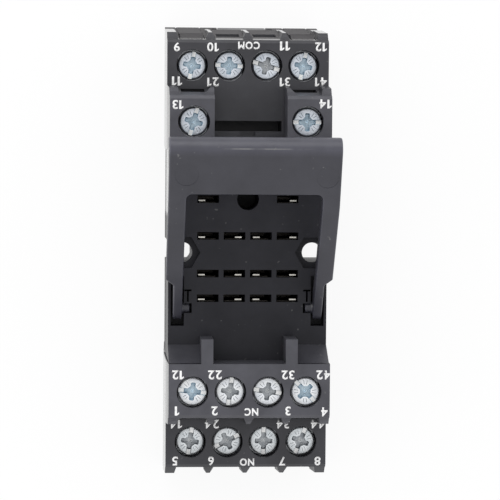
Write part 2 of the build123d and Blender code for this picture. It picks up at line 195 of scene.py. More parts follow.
def ramp(tree, source, stops):
    node = addNode(tree, "ShaderNodeValToRGB")
    while len(node.color_ramp.elements) < len(stops):
        node.color_ramp.elements.new(0.5)
    for element, (position, colour) in zip(node.color_ramp.elements, stops):
        element.position = position
        element.color = (*colour, 1) if isinstance(colour, tuple) else (colour, colour, colour, 1)
    tree.links.new(source, node.inputs["Fac"])
    return node.outputs["Color"]


def evenTone(tree, source, tone):
    return ramp(tree, source, [(0.0, tone), (1.0, tone)])


# A colour Mix node takes its two colours on sockets 6 and 7 and gives the result on 2
def blendColour(tree, factor, first, second):
    mix = addNode(tree, "ShaderNodeMix", data_type="RGBA", blend_type="MIX")
    tree.links.new(factor, mix.inputs[0])
    tree.links.new(first, mix.inputs[6])
    tree.links.new(second, mix.inputs[7])
    return mix.outputs[2]


def spread(tree, source, low, high):
    node = addNode(tree, "ShaderNodeMapRange")
    node.inputs["To Min"].default_value = low
    node.inputs["To Max"].default_value = high
    tree.links.new(source, node.inputs["Value"])
    return node.outputs["Result"]


# Zero at the first place and one at the second, both in millimetres
def heightStep(tree, source, low, high):
    step = addNode(tree, "ShaderNodeMapRange")
    step.inputs["From Min"].default_value = low * mm
    step.inputs["From Max"].default_value = high * mm
    tree.links.new(source, step.inputs["Value"])
    return step.outputs["Result"]


def twoInto(tree, operation, first, second):
    node = addNode(tree, "ShaderNodeMath", operation=operation)
    tree.links.new(first, node.inputs[0])
    tree.links.new(second, node.inputs[1])
    return node.outputs[0]


def placeAxes(tree, place):
    axes = addNode(tree, "ShaderNodeSeparateXYZ")
    tree.links.new(place, axes.inputs[0])
    return axes.outputs


def bumpInto(tree, shader, height, strength, distance):
    bump = addNode(tree, "ShaderNodeBump")
    bump.inputs["Strength"].default_value = strength
    bump.inputs["Distance"].default_value = distance
    tree.links.new(height, bump.inputs["Height"])
    tree.links.new(bump.outputs["Normal"], shader.inputs["Normal"])


plasticLook = {
    "housing": {
        "dark": (0.022, 0.022, 0.027), "light": (0.034, 0.034, 0.041), "speck": 0.13,
        # The housing turns paler from the low tier to the high tier: painted light on the upper faces
        "rough": (0.38, 0.5), "grain": 5200, "paintedLift": ("Z", 20.5, 28, 2.0),
    },
    # The relay bay's darker tone is painted shade, for the recess under the clip and between the tiers
    "bay": {
        "dark": (0.007, 0.007, 0.011), "light": (0.013, 0.013, 0.018), "speck": 0.1,
        "rough": (0.4, 0.52), "grain": 5200, "shine": 0.3,
    },
    "wall": {
        "dark": (0.034, 0.033, 0.035), "light": (0.046, 0.045, 0.047), "speck": 0.1,
        "rough": (0.06, 0.12), "grain": 3000,
        "matt": (0.4, 0.5), "mattY": (-17, 6), "mattZ": (16, 44),
    },
    "panel": {
        "dark": (0.024, 0.021, 0.024), "light": (0.036, 0.033, 0.036), "speck": 0.12,
        "rough": (0.18, 0.24), "grain": 2600,
        "matt": (0.58, 0.7), "mattY": (0, 0), "mattZ": (17.9, 17.3),
    },
    "cover": {
        "dark": (0.028, 0.028, 0.032), "light": (0.040, 0.040, 0.045), "speck": 0.1,
        "rough": (0.38, 0.5), "grain": 4600,
    },
    "clip": {
        "dark": (0.027, 0.027, 0.036), "light": (0.037, 0.037, 0.048), "speck": 0.15,
        # The clip is paler along its crest band: partly wear, partly a painted highlight from the key light
        "rough": (0.34, 0.46), "grain": 4200, "paintedLift": ("Y", 16.6, 17.7, 1.7),
        "wearAndSheen": 0.2, "wearAndSheenY": (17.62, 18.12), "wearAndSheenX": (-6.5, 9.5),
    },
    "latch": {
        "dark": (0.026, 0.026, 0.029), "light": (0.036, 0.036, 0.040), "speck": 0.09,
        "rough": (0.34, 0.44), "grain": 5200,
    },
}

# Noise fields are scale, detail and roughness
plasticGrain = {
    "cloud": (160, 4, 0.6), "cloudDark": 0.34, "cloudLight": 0.66,
    "dust": (1250, 1.5, 0.4), "dustStops": [(0.735, 0.0), (0.79, 0.6)],
    "wipe": (420, 3, 0.65), "fine": (2, 0.6), "bump": (0.22, 0.00003),
    "mattFade": 1, "refraction": 1.5, "shine": 0.5,
}

wearAndSheenPlan = {
    "across": [(0.2, 0.0), (0.5, 1.0), (0.8, 0.0)],
    "along": [(0.0, 0.0), (0.2, 1.0), (0.7, 0.6), (1.0, 0.0)],
    "patches": (300, 4, 0.6), "patchStops": [(0.4, 0.0), (0.56, 1.0)],
}


# A pale line along the crest of the clip, partly rubbed wear and partly a painted highlight on the bend, broken
# up in patches
def wearAndSheenLine(tree, place, look):
    axes = placeAxes(tree, place)
    across = ramp(tree, heightStep(tree, axes["Y"], *look["wearAndSheenY"]), wearAndSheenPlan["across"])
    along = ramp(tree, heightStep(tree, axes["X"], *look["wearAndSheenX"]), wearAndSheenPlan["along"])
    patches = noiseField(tree, place, *wearAndSheenPlan["patches"])
    broken = ramp(tree, patches, wearAndSheenPlan["patchStops"])
    return twoInto(tree, "MULTIPLY", twoInto(tree, "MULTIPLY", across, along), broken)


# Where a polished wall turns matt: over a stretch of its length, and with height. The side
# walls fade between the terminal blocks and upwards, the end panels are matt below their top edge
def mattPart(tree, place, look):
    axes = placeAxes(tree, place)
    low, high = look["mattY"]
    past = heightStep(tree, axes["Y"], high, high + plasticGrain["mattFade"])
    before = heightStep(tree, axes["Y"], low, low - plasticGrain["mattFade"])
    between = ramp(tree, twoInto(tree, "MAXIMUM", past, before), [(0.0, 1.0), (1.0, 0.0)])
    return twoInto(tree, "MAXIMUM", between, heightStep(tree, axes["Z"], *look["mattZ"]))


# Filled black nylon: cloudy tone, fine spark grain, a few pale specks of dust, and paler past a
# set height or reach, which is painted light (on the clip's crest partly wear as well)
def plasticMaterial(name, look, paler):
    material, tree, shader = freshMaterial(name)
    place = objectPlace(tree)
    cloud = noiseField(tree, place, *plasticGrain["cloud"])

    def cloudTone(gain):
        dark = tuple(c * gain for c in look["dark"])
        light = tuple(c * gain for c in look["light"])
        return ramp(tree, cloud, [(plasticGrain["cloudDark"], dark), (plasticGrain["cloudLight"], light)])

    tone = cloudTone(paler)
    # Paler past a set height or reach: painted light
    if "paintedLift" in look:
        axis, low, high, gain = look["paintedLift"]
        lift = heightStep(tree, placeAxes(tree, place)[axis], low, high)
        tone = blendColour(tree, lift, tone, cloudTone(paler * gain))
    # The crest line: partly wear, partly a painted highlight
    if "wearAndSheen" in look:
        pale = evenTone(tree, cloud, look["wearAndSheen"])
        tone = blendColour(tree, wearAndSheenLine(tree, place, look), tone, pale)
    dust = noiseField(tree, place, *plasticGrain["dust"])
    dustMask = ramp(tree, dust, plasticGrain["dustStops"])
    dusty = blendColour(tree, dustMask, tone, evenTone(tree, dust, look["speck"]))
    tree.links.new(dusty, shader.inputs["Base Color"])
    wipe = noiseField(tree, place, *plasticGrain["wipe"])
    rough = spread(tree, wipe, *look["rough"])
    if "matt" in look:
        matt = spread(tree, wipe, *look["matt"])
        rough = blendColour(tree, mattPart(tree, place, look), rough, matt)
    tree.links.new(rough, shader.inputs["Roughness"])
    grain = noiseField(tree, place, look["grain"], *plasticGrain["fine"])
    bumpInto(tree, shader, grain, *plasticGrain["bump"])
    shader.inputs["IOR"].default_value = plasticGrain["refraction"]
    shader.inputs["Specular IOR Level"].default_value = look.get("shine", plasticGrain["shine"])
    return material


metalLook = {
    # The white, grey and cool head finishes are lit and shaded copies of one zinc plating: painted light on
    # screws 1 to 4, painted shade on 9 to 14
    "zincWhite": {
        "dark": (0.87, 0.90, 0.95), "light": (0.97, 0.99, 1.0),
        "rough": (0.46, 0.6), "grain": 5200, "metallic": 0.45,
    },
    "zincGrey": {
        "dark": (0.80, 0.85, 0.88), "light": (0.95, 0.98, 1.0),
        "rough": (0.46, 0.6), "grain": 5200, "metallic": 0.55,
    },
    "zincCool": {
        "dark": (0.66, 0.71, 0.78), "light": (0.82, 0.86, 0.92),
        "rough": (0.46, 0.6), "grain": 5200, "metallic": 0.9,
    },
    # The slot floor is paler and less metallic than the head: a painted reflection
    "zincSlot": {
        "dark": (0.95, 0.96, 0.96), "light": (1.0, 1.0, 0.99),
        "rough": (0.42, 0.54), "grain": 900, "metallic": 0.5,
    },
    # Darker tone for the slot walls, and for the ticks on the cool screws: painted shade
    "zincTick": {
        "dark": (0.2, 0.23, 0.26), "light": (0.36, 0.39, 0.42),
        "rough": (0.36, 0.48), "grain": 900,
    },
    # The cross finishes, also used on most ticks, are darker than the head: painted shade in the recesses
    "zincCross": {
        "dark": (0.29, 0.31, 0.33), "light": (0.46, 0.48, 0.50),
        "rough": (0.36, 0.48), "grain": 900, "metallic": 0.8,
    },
    "zincCrossBlue": {
        "dark": (0.33, 0.43, 0.51), "light": (0.53, 0.64, 0.72),
        "rough": (0.36, 0.48), "grain": 900, "metallic": 0.8,
    },
    # The dimple finishes are darker than the head: painted shade in the dimple
    "zincDimple": {
        "dark": (0.55, 0.57, 0.58), "light": (0.76, 0.78, 0.79),
        "rough": (0.38, 0.5), "grain": 900, "metallic": 0.4,
    },
    "zincDimpleBlue": {
        "dark": (0.58, 0.72, 0.82), "light": (0.76, 0.89, 0.98),
        "rough": (0.38, 0.5), "grain": 900, "metallic": 0.4,
    },
    "clampSteel": {
        "dark": (0.5, 0.52, 0.55), "light": (0.7, 0.72, 0.75),
        "rough": (0.3, 0.46), "grain": 1500,
    },
    # The tinned brass carries a dark film low in the relay bay that is painted shade
    "tinnedBrass": {
        "dark": (0.6, 0.58, 0.53), "light": (0.8, 0.78, 0.72),
        "rough": (0.28, 0.42), "grain": 1500, "forkShade": (0.06, 0.055, 0.05),
    },
    "springSteel": {
        "dark": (0.34, 0.34, 0.35), "light": (0.5, 0.5, 0.51),
        "rough": (0.26, 0.38), "grain": 1500,
    },
}

metalGrain = {
    "blotch": (900, 4, 0.6), "blotchDark": 0.35, "blotchLight": 0.62,
    "dull": (2100, 3, 0.6), "fine": (3, 0.6), "bump": (0.2, 0.00003), "metallic": 1,
}

# Where the forks' painted shade stops, and the noise that makes it patchy
paintedForkShade = {
    "brightY": (16, 18), "brightZ": (20.1, 20.45),
    "patchy": (700, 3, 0.6), "patchyDark": 0.3, "patchyLight": 0.75, "gain": 2,
}


# The forks down in the relay bay are darkened with painted shade, so the blade slots read black; the tips and the
# ends beyond the bay keep the plain tinned tone
def shadeForksInBay(tree, place, tone, dull):
    axes = placeAxes(tree, place)
    fromMiddle = addNode(tree, "ShaderNodeMath", operation="ABSOLUTE")
    tree.links.new(axes["Y"], fromMiddle.inputs[0])
    ends = heightStep(tree, fromMiddle.outputs[0], *paintedForkShade["brightY"])
    tips = heightStep(tree, axes["Z"], *paintedForkShade["brightZ"])
    bright = twoInto(tree, "MAXIMUM", ends, tips)
    patchy = noiseField(tree, place, *paintedForkShade["patchy"])
    thin = tuple(paintedForkShade["gain"] * c for c in dull)
    film = ramp(tree, patchy, [(paintedForkShade["patchyDark"], dull), (paintedForkShade["patchyLight"], thin)])
    return blendColour(tree, bright, film, tone)


# Plated metal: blotchy plating, fine drawn grain and duller patches
def metalMaterial(name, look):
    material, tree, shader = freshMaterial(name)
    place = objectPlace(tree)
    blotch = noiseField(tree, place, *metalGrain["blotch"])
    stops = [(metalGrain["blotchDark"], look["dark"]), (metalGrain["blotchLight"], look["light"])]
    tone = ramp(tree, blotch, stops)
    # Painted shade on the forks in the relay bay
    if "forkShade" in look:
        tone = shadeForksInBay(tree, place, tone, look["forkShade"])
    tree.links.new(tone, shader.inputs["Base Color"])
    shader.inputs["Metallic"].default_value = look.get("metallic", metalGrain["metallic"])
    dull = noiseField(tree, place, *metalGrain["dull"])
    tree.links.new(spread(tree, dull, *look["rough"]), shader.inputs["Roughness"])
    grain = noiseField(tree, place, look["grain"], *metalGrain["fine"])
    bumpInto(tree, shader, grain, *metalGrain["bump"])
    return material


inkLook = {"thin": (1500, 3, 0.6), "stops": [(0.28, 0.6), (0.46, 0.86)], "rough": (0.6, 0.45)}


# White marking ink, a little thin in places
def inkMaterial(name):
    material, tree, shader = freshMaterial(name)
    thin = noiseField(tree, objectPlace(tree), *inkLook["thin"])
    tree.links.new(ramp(tree, thin, inkLook["stops"]), shader.inputs["Base Color"])
    tree.links.new(spread(tree, thin, *inkLook["rough"]), shader.inputs["Roughness"])
    return material


# Each plastic's look, and how much paler it is; the paler edge finishes are partly wear, partly painted highlight
# along the eased edges
plasticPlan = {
    "housingPlastic": ("housing", 1.0), "housingEdge": ("housing", 1.05), "housingBayPaintedShade": ("bay", 1.0),
    "housingWall": ("wall", 1.0), "housingPanel": ("panel", 1.0),
    "coverPlastic": ("cover", 1.0), "coverEdge": ("cover", 1.25),
    "clipPlastic": ("clip", 1.0), "clipEdge": ("clip", 1.35),
    "latchPlastic": ("latch", 1.0), "latchEdge": ("latch", 1.25),
}
finishes = {"markingInk": inkMaterial("markingInk")}
for name, (look, paler) in plasticPlan.items():
    finishes[name] = plasticMaterial(name, plasticLook[look], paler)
for name, look in metalLook.items():
    finishes[name] = metalMaterial(name, look)
print("materials ready", len(finishes))


def dress(piece, names):
    piece.data.materials.clear()
    for name in names:
        piece.data.materials.append(finishes[name])


# Mouldings: the CAD shapes with their edges eased as the tool leaves them

mouldings = {
    "housing": {
        "piece": "housingMoulding", "body": "socket", "slot": "housing_plastic", "ease": 0.055, "steps": 2,
        "finish": ("housingPlastic", "housingEdge", "housingWall", "housingPanel", "housingBayPaintedShade"),
    },
    "rear_cover": {
        "piece": "rearCoverMoulding", "body": "socket", "slot": "cover_plastic", "ease": 0.12, "steps": 2,
        "finish": ("coverPlastic", "coverEdge", "housingWall", "housingPanel"),
    },
    "rail_latch": {
        "piece": "railLatchMoulding", "body": "latch", "slot": "latch_plastic", "ease": 0.12, "steps": 2,
        "finish": ("latchPlastic", "latchEdge"),
    },
    "retaining_clip": {
        "piece": "retainingClipMoulding", "body": "clip", "slot": "clip_plastic", "ease": 0.22, "steps": 3,
        "finish": ("clipPlastic", "clipEdge"),
    },
}
mouldTool = {"merge": 0.000002, "flatAngle": 0.4, "easeAngle": 35, "smoothAngle": 40, "weight": 80}

# Places in each moulding's list of finishes
finishPlace = {"body": 0, "edge": 1, "polished": 2, "panel": 3, "bay": 4}


def mouldedCopy(node, plan):
    piece = copyPiece(frame["nodes"][node], plan["piece"])
    dress(piece, plan["finish"])
    onlySelect(piece)
    bpy.ops.mesh.customdata_custom_splitnormals_clear()
    enterEdit()
    bpy.ops.mesh.select_all(action="SELECT")
    bpy.ops.mesh.remove_doubles(threshold=mouldTool["merge"])
    bpy.ops.mesh.dissolve_limited(angle_limit=math.radians(mouldTool["flatAngle"]))
    leaveEdit()
    for face in piece.data.polygons:
        face.material_index = finishPlace["body"]
    return piece


# The eased faces take the paler edge finish: partly wear, partly a painted highlight
def easeEdges(piece, plan):
    applyModifier(
        piece, "BEVEL", width=plan["ease"] * mm, segments=plan["steps"], limit_method="ANGLE",
        angle_limit=math.radians(mouldTool["easeAngle"]), use_clamp_overlap=True,
        material=finishPlace["edge"], miter_outer="MITER_ARC",
    )
    smoothen(piece, mouldTool["smoothAngle"])
    applyModifier(piece, "WEIGHTED_NORMAL", mode="FACE_AREA", weight=mouldTool["weight"], keep_sharp=True)


# The end walls lean in by the draft from baseY at the back
wallPlan = {
    "sideX": 12.9, "baseY": {"housing": 38.6, "rear_cover": 38.4}, "draft": 0.15,
    "ribProud": 0.15, "panelDeep": 0.6, "bayY": 17.5, "bayZ": 22.2,
    "sideFacing": 0.9, "ribFacing": 0.95, "panelFacing": 0.85,
}


# Side walls and the common end's rib ends come off polished steel, the end panels between those
# ribs are spark-eroded, and the relay bay gets a darker tone that is painted shade under the clip
def finishWalls(piece, node):
    for face in piece.data.polygons:
        x, y, z = (c / mm for c in face.center)
        wallY = wallPlan["baseY"][node] - wallPlan["draft"] * z
        if abs(face.normal.x) > wallPlan["sideFacing"] and abs(x) > wallPlan["sideX"]:
            face.material_index = finishPlace["polished"]
        elif face.normal.y > wallPlan["ribFacing"] and y > wallY + wallPlan["ribProud"]:
            face.material_index = finishPlace["polished"]
        elif face.normal.y > wallPlan["panelFacing"] and y > wallY - wallPlan["panelDeep"]:
            face.material_index = finishPlace["panel"]
        # Faces low in the relay bay take the painted shade finish
        elif node == "housing" and abs(y) < wallPlan["bayY"] and z < wallPlan["bayZ"]:
            face.material_index = finishPlace["bay"]


# Each mark is its X, its reach along the bridge from the knee, and its radius
clipMarks = {
    "depth": 0.05, "knee": 23.6, "topFace": 1.5, "armLean": 39.5, "bridgeLean": 24.5,
    "marks": [(-10.9, 5.76, 1.9), (11.5, 5.36, 1.8)], "toolTop": 0.4, "sides": 40,
}


# Two ejector marks pressed into the bridge of the clip
def pressClipMarks(clip):
    hinge = next(j for j in frame["joints"] if j["name"] == "clip_hinge")
    arm = math.radians(clipMarks["armLean"])
    bridge = math.radians(clipMarks["bridgeLean"])
    knee, top = clipMarks["knee"] * mm, clipMarks["topFace"] * mm
    kneeY = hinge["pos_m"][1] + knee * math.cos(arm) - top * math.sin(arm)
    kneeZ = hinge["pos_m"][2] + knee * math.sin(arm) + top * math.cos(arm)
    low, high = -clipMarks["depth"] * mm, clipMarks["toolTop"] * mm
    for x, reach, radius in clipMarks["marks"]:
        mark = roundPiece("clipMark", radius * mm, low, high, clipMarks["sides"])
        along = reach * mm
        middle = (x * mm, kneeY + along * math.cos(bridge), kneeZ + along * math.sin(bridge))
        settle(mark, middle, (bridge, 0, 0))
        cutAway(clip, mark)


for node, plan in mouldings.items():
    piece = mouldedCopy(node, plan)
    easeEdges(piece, plan)
    if node == "retaining_clip":
        pressClipMarks(piece)
    if node in wallPlan["baseY"]:
        finishWalls(piece, node)
    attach(piece, plan["body"])
    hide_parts(node)
    print("moulding", plan["piece"], len(piece.data.polygons), "faces")


# Terminal screws: one is modelled on the Z axis with its head top at zero, then copied

screwPlan = {
    "headRadius": 2.4, "headHeight": 1.9, "faceRadius": 2.14, "shoulder": 0.6, "headSides": 56,
    "faceEase": 0.07, "underEase": 0.12, "edgeBand": 0.1, "smoothAngle": 32,
    "rootRadius": 1.2, "crestRadius": 1.5, "length": 7.65, "coreSides": 40, "coreSunk": 0.2, "tipEase": 0.3,
    "threadPitch": 0.5, "threadSteps": 28, "threadStart": 0.35, "threadFree": 0.7,
    "threadSunk": 0.05, "threadHalf": 0.21,
    "slotWidth": 0.94, "slotTaper": (1, 0.68), "slotDepth": 0.34, "slotOverrun": 2.2,
    "crossLength": 3.2, "crossWidth": 0.92, "crossTaper": (0.8, 0.62), "crossDepth": 1.0, "crossEase": 0.2,
    "hubRadius": 0.95, "hubDepth": 0.8, "hubTop": 0.5, "hubSides": 8, "hubTurn": 22.5,
    "dimpleRadius": 0.64, "dimpleTip": 0.12, "dimpleTop": 0.5, "dimpleDepth": 1.15, "dimpleSides": 24,
    "tickReach": (1.15, 1.85), "tickWidth": 0.1, "tickDepth": 0.07, "tickSpread": 9, "tickTurn": 45,
    "turns": {
        1: -7, 2: 82, 3: -8, 4: -46, 5: 82, 6: 27, 7: 89, 8: 68,
        9: 80, 10: -3, 11: -17, 12: 78, 13: 75, 14: 0,
    },
    # The white and cool groups take the lit and shaded copies of the head plating: painted light and shade
    "blued": (1, 4, 9, 10, 12, 13, 14), "white": range(1, 5), "cool": range(9, 15),
    # Slot floor as a painted reflection; cross, dimple, ticks and slot walls in darker tones as painted shade
    "finish": ("zincGrey", "zincSlot", "zincCross", "zincDimple", "zincCross", "zincTick"),
}

# Places in the screw's list of finishes
screwPlace = {"head": 0, "slotFloor": 1, "cross": 2, "dimple": 3, "tick": 4, "slotWall": 5}

# Millimetres below the head's top and from the axis that tell the screw's surfaces apart
screwZones = {
    "slotFlat": 0.02, "floorFacing": 0.9, "wallFacing": 0.4, "wallHalf": 0.5, "wallInner": 1.3,
    "dimpleRim": 0.05, "dimpleDeep": (-1.5, -0.6),
    "crossDeep": (-1.4, -0.1), "crossInner": 2, "crossOuter": 2.45,
    "tickDeep": (-0.08, -0.02), "tickInner": 1.1, "tickOuter": 1.95,
}


def threadRidge(plan):
    low = -plan["length"] * mm + plan["threadStart"] * mm
    rise = plan["length"] - plan["headHeight"] - plan["threadFree"]
    inner, outer = (plan["rootRadius"] - plan["threadSunk"]) * mm, plan["crestRadius"] * mm
    half = plan["threadHalf"] * mm
    corners = [(inner, -half), (outer, 0.0), (inner, half)]
    clearSelection()
    bpy.ops.mesh.primitive_circle_add(vertices=len(corners), radius=half, fill_type="NOTHING")
    ridge = bpy.context.object
    for point, (across, up) in zip(ridge.data.vertices, corners):
        point.co = (across, 0, low + up)
    applyModifier(
        ridge, "SCREW", axis="Z", angle=2 * math.pi, screw_offset=plan["threadPitch"] * mm,
        iterations=int(rise / plan["threadPitch"]), steps=plan["threadSteps"],
        render_steps=plan["threadSteps"], use_merge_vertices=True, merge_threshold=0.000001,
    )
    onlySelect(ridge)
    enterEdit()
    bpy.ops.mesh.select_all(action="SELECT")
    bpy.ops.mesh.fill_holes(sides=len(corners))
    bpy.ops.mesh.normals_make_consistent(inside=False)
    leaveEdit()
    return ridge


# The head's cone and the threaded shank
def screwBlank(plan):
    under = -plan["headHeight"] * mm
    screw = roundPiece(
        "screwTemplate", plan["headRadius"] * mm, under, -plan["shoulder"] * mm, plan["headSides"]
    )
    pickFaces(screw, lambda normal: normal.z > 0.9)
    bpy.ops.mesh.extrude_region_move(TRANSFORM_OT_translate={"value": (0, 0, plan["shoulder"] * mm)})
    size = plan["faceRadius"] / plan["headRadius"]
    bpy.ops.transform.resize(value=(size, size, 1), center_override=(0, 0, 0))
    leaveEdit()
    band = plan["edgeBand"] * mm
    tip = -plan["length"] * mm
    easePicked(screw, plan["faceEase"], 2, lambda a, b: min(a.z, b.z) > -band)
    easePicked(screw, plan["underEase"], 2, lambda a, b: max(a.z, b.z) < under + band)
    core = roundPiece(
        "screwCore", plan["rootRadius"] * mm, tip, under + plan["coreSunk"] * mm, plan["coreSides"]
    )
    easePicked(core, plan["tipEase"], 2, lambda a, b: max(a.z, b.z) < tip + band)
    joinOn(core, threadRidge(plan))
    joinOn(screw, core)
    return screw


# A bar across the head, narrowing downwards
def taperedTool(name, length, width, depth, taper):
    tool = boxPiece(name, (length * mm, width * mm, depth * mm))
    pickFaces(tool, lambda normal: normal.z < -0.9)
    bpy.ops.transform.resize(value=(*taper, 1), center_override=(0, 0, 0))
    bpy.ops.transform.translate(value=(0, 0, -depth / 2 * mm))
    leaveEdit()
    return tool


# Slot, cross with its hub and dimple, and the four pairs of ticks
def cutDrive(screw, plan):
    slotLength = plan["headRadius"] * plan["slotOverrun"]
    cutAway(screw, taperedTool("slotTool", slotLength, plan["slotWidth"], plan["slotDepth"], plan["slotTaper"]))
    upright = plan["crossDepth"] / 2 * mm
    for turn in (0, math.pi / 2):
        arm = taperedTool(
            "crossTool", plan["crossLength"], plan["crossWidth"], plan["crossDepth"], plan["crossTaper"]
        )
        easePicked(arm, plan["crossEase"], 2, lambda a, b: abs(a.z - b.z) > upright)
        settle(arm, turn=(0, 0, turn))
        cutAway(screw, arm)
    hub = roundPiece(
        "hubTool", plan["hubRadius"] * mm, -plan["hubDepth"] * mm, plan["hubTop"] * mm, plan["hubSides"]
    )
    settle(hub, turn=(0, 0, math.radians(plan["hubTurn"])))
    cutAway(screw, hub)
    clearSelection()
    bpy.ops.mesh.primitive_cone_add(
        vertices=plan["dimpleSides"], radius1=plan["dimpleTip"] * mm, radius2=plan["dimpleRadius"] * mm,
        depth=(plan["dimpleDepth"] - plan["dimpleTop"]) * mm,
        location=(0, 0, -(plan["dimpleDepth"] + plan["dimpleTop"]) / 2 * mm),
    )
    dimple = bpy.context.object
    bakePlace()
    cutAway(screw, dimple)
    inner, outer = plan["tickReach"]
    tickSize = ((outer - inner) * mm, plan["tickWidth"] * mm, plan["tickDepth"] * 2 * mm)
    for quarter in range(4):
        for lean in (-plan["tickSpread"], plan["tickSpread"]):
            tick = boxPiece("tickTool", tickSize, ((inner + outer) / 2 * mm, 0, 0))
            settle(tick, turn=(0, 0, math.radians(plan["tickTurn"] + 90 * quarter + lean)))
            cutAway(screw, tick)


def screwZone(face, points, plan):
    zones = screwZones
    reaches = [math.hypot(points[i].co.x, points[i].co.y) / mm for i in face.vertices]
    near, far, deep = min(reaches), max(reaches), face.center.z / mm
    slotFloor = -plan["slotDepth"]

    def within(limits):
        return limits[0] < deep < limits[1]

    if abs(deep - slotFloor) < zones["slotFlat"] and face.normal.z > zones["floorFacing"]:
        return "slotFloor"
    besideSlot = abs(face.normal.y) > zones["wallFacing"] and abs(face.center.y) / mm < zones["wallHalf"]
    if within((slotFloor, 0)) and besideSlot and near > zones["wallInner"]:
        return "slotWall"
    if within(zones["dimpleDeep"]) and far < plan["dimpleRadius"] + zones["dimpleRim"]:
        return "dimple"
    if within(zones["crossDeep"]) and near < zones["crossInner"] and far < zones["crossOuter"]:
        return "cross"
    if within(zones["tickDeep"]) and near > zones["tickInner"] and far < zones["tickOuter"]:
        return "tick"
    return "head"


def screwTemplate(plan):
    screw = screwBlank(plan)
    cutDrive(screw, plan)
    dress(screw, plan["finish"])
    points = screw.data.vertices
    for face in screw.data.polygons:
        face.material_index = screwPlace[screwZone(face, points, plan)]
    smoothen(screw, plan["smoothAngle"])
    return screw


screwModel = screwTemplate(screwPlan)
for number in terminalNumbers:
    low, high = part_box(f"terminal_screw_{number}")
    screw = copyPiece(screwModel, f"terminalScrew{number}")
    coats = screw.data.materials
    if number in screwPlan["blued"]:
        coats[screwPlace["cross"]] = finishes["zincCrossBlue"]
        coats[screwPlace["dimple"]] = finishes["zincDimpleBlue"]
    # Lit copy of the head plating for screws 1 to 4, shaded copy for 9 to 14: painted light and shade
    if number in screwPlan["white"]:
        coats[screwPlace["head"]] = finishes["zincWhite"]
    if number in screwPlan["cool"]:
        coats[screwPlace["head"]] = finishes["zincCool"]
        coats[screwPlace["tick"]] = finishes["zincTick"]
    settle(
        screw, ((low[0] + high[0]) / 2, (low[1] + high[1]) / 2, high[2]),
        (0, 0, math.radians(screwPlan["turns"][number])),
    )
    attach(screw, f"screw_{number}")
    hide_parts(f"terminal_screw_{number}")
print("screws", len(screwModel.data.polygons), "faces each")
bpy.data.objects.remove(screwModel)


# Clamp plates: pressed, with a round hole, eased corners and teeth underneath

clampPlan = {
    "width": 4.5, "length": 5.2, "thickness": 0.8, "corner": 0.35, "lip": 0.4, "edgeBand": 0.1,
    "hole": 1.56, "holeTool": (-2, 1), "holeSides": 40,
    "teeth": 5, "toothPitch": 0.85, "toothGroove": 0.26, "grooveOverrun": 1.2, "smoothAngle": 35,
}


def clampTemplate(plan):
    thick, groove = plan["thickness"] * mm, plan["toothGroove"] * mm
    plate = boxPiece("clampTemplate", (plan["width"] * mm, plan["length"] * mm, thick), (0, 0, -thick / 2))
    easePicked(plate, plan["corner"], 3, lambda a, b: abs(a.z - b.z) > thick / 2)
    band = plan["edgeBand"] * mm
    outerY = plan["length"] / 2 * mm - band
    easePicked(
        plate, plan["lip"], 2, lambda a, b: max(a.z, b.z) < band - thick and min(a.y, b.y) > outerY
    )
    low, high = plan["holeTool"]
    cutAway(plate, roundPiece("holeTool", plan["hole"] * mm, low * mm, high * mm, plan["holeSides"]))
    for i in range(plan["teeth"]):
        y = (i - (plan["teeth"] - 1) / 2) * plan["toothPitch"] * mm
        tool = boxPiece("grooveTool", (plan["width"] * plan["grooveOverrun"] * mm, groove, groove))
        settle(tool, (0, y, -thick), (math.radians(45), 0, 0))
        cutAway(plate, tool)
    dress(plate, ["clampSteel"])
    for face in plate.data.polygons:
        face.material_index = 0
    smoothen(plate, plan["smoothAngle"])
    return plate


clampModel = clampTemplate(clampPlan)
for number in terminalNumbers:
    low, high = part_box(f"clamp_plate_{number}")
    clamp = copyPiece(clampModel, f"clampPlate{number}")
    outward = 0 if low[1] > 0 else math.pi
    settle(clamp, ((low[0] + high[0]) / 2, (low[1] + high[1]) / 2, high[2]), (0, 0, outward))
    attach(clamp, f"clamp_{number}")
    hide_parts(f"clamp_plate_{number}")
print("clamp plates", len(clampModel.data.polygons), "faces each")
bpy.data.objects.remove(clampModel)

for number in terminalNumbers:
    frame["nodes"][f"contact_{number}"].material_slots[0].material = finishes["tinnedBrass"]
print("contacts finished")


# Latch spring: the folded strip with its edges rounded

springPlan = {
    "piece": "latchSpringStrip", "ease": 0.05, "steps": 2, "finish": ("springSteel", "springSteel"),
    "closed": 0.7,
}
spring = mouldedCopy("latch_spring", springPlan)
easeEdges(spring, springPlan)
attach(spring, "socket")
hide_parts("latch_spring")
low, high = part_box("latch_spring")
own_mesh(spring)
print("latch spring", len(spring.data.polygons), "faces")


# Printed terminal numbers, which read upright from the common end. Each mark is its text and
# its middle in X and Y

